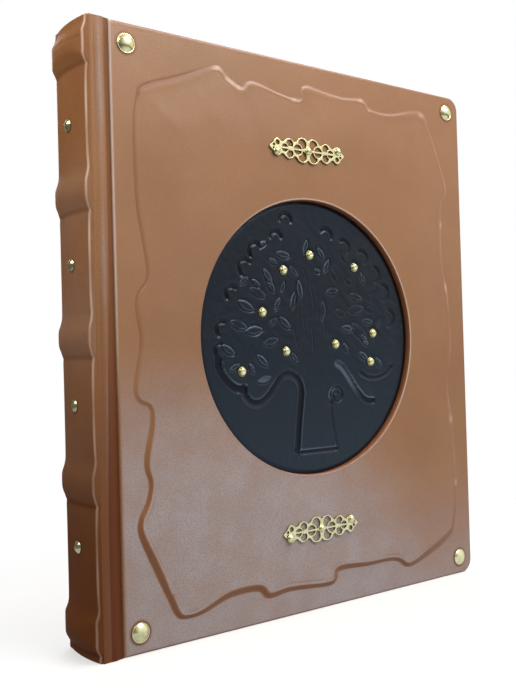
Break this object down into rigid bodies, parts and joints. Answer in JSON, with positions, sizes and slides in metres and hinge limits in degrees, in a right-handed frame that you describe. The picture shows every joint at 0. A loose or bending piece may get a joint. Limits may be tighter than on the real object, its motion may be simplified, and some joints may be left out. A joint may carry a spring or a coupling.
{
  "type": "leather bound book",
  "caption": "Upright leather-bound book with raised bands, a round window with a tooled tree inlay, brass rivets and filigree plates; both covers open.",
  "frame": {"origin": "centre of the outer box, on the plane the book stands on", "axes": "+Z from tail to head, -Y out of the front cover, -X out of the spine, +X to the fore edge"},
  "size_m": [0.266, 0.038, 0.3],
  "materials": {
    "pages": "matte",
    "headband": "matte",
    "lining": "matte",
    "board": "matte",
    "spine_card": "matte",
    "band_core": "matte",
    "brown_leather": "satin",
    "spine_leather": "satin",
    "black_leather": "satin",
    "endpaper": "matte",
    "brass": "satin"
  },
  "bodies": {
    "book_block": {"text_block": "pages", "headband_head": "headband", "headband_tail": "headband", "spine_lining": "lining", "spine_card": "spine_card", "band_1": "band_core", "band_2": "band_core", "band_3": "band_core", "band_4": "band_core", "band_5": "band_core", "spine_leather": "spine_leather", "spine_studs": "brass", "front_joint_leather": "brown_leather", "back_joint_leather": "brown_leather"},
    "front_cover": {"front_board": "board", "window_board": "board", "relief_card": "board", "front_leather": "brown_leather", "front_pastedown": "endpaper", "inlay_leather": "black_leather", "tree_studs": "brass", "corner_rivets": "brass", "filigree_top": "brass", "filigree_bottom": "brass", "filigree_studs": "brass"},
    "back_cover": {"back_board": "board", "back_leather": "brown_leather", "back_pastedown": "endpaper"}
  },
  "joints": [
    {"name": "front_cover_hinge", "type": "hinge", "parent": "book_block", "child": "front_cover", "pos_m": [-0.1217, -0.0166, 0.15], "axis": [0, 0, -1], "range_deg": [0, 180], "deforming": ["front_joint_leather"]},
    {"name": "back_cover_hinge", "type": "hinge", "parent": "book_block", "child": "back_cover", "pos_m": [-0.1217, 0.02, 0.15], "axis": [0, 0, 1], "range_deg": [0, 180], "deforming": ["back_joint_leather"]}
  ]
}
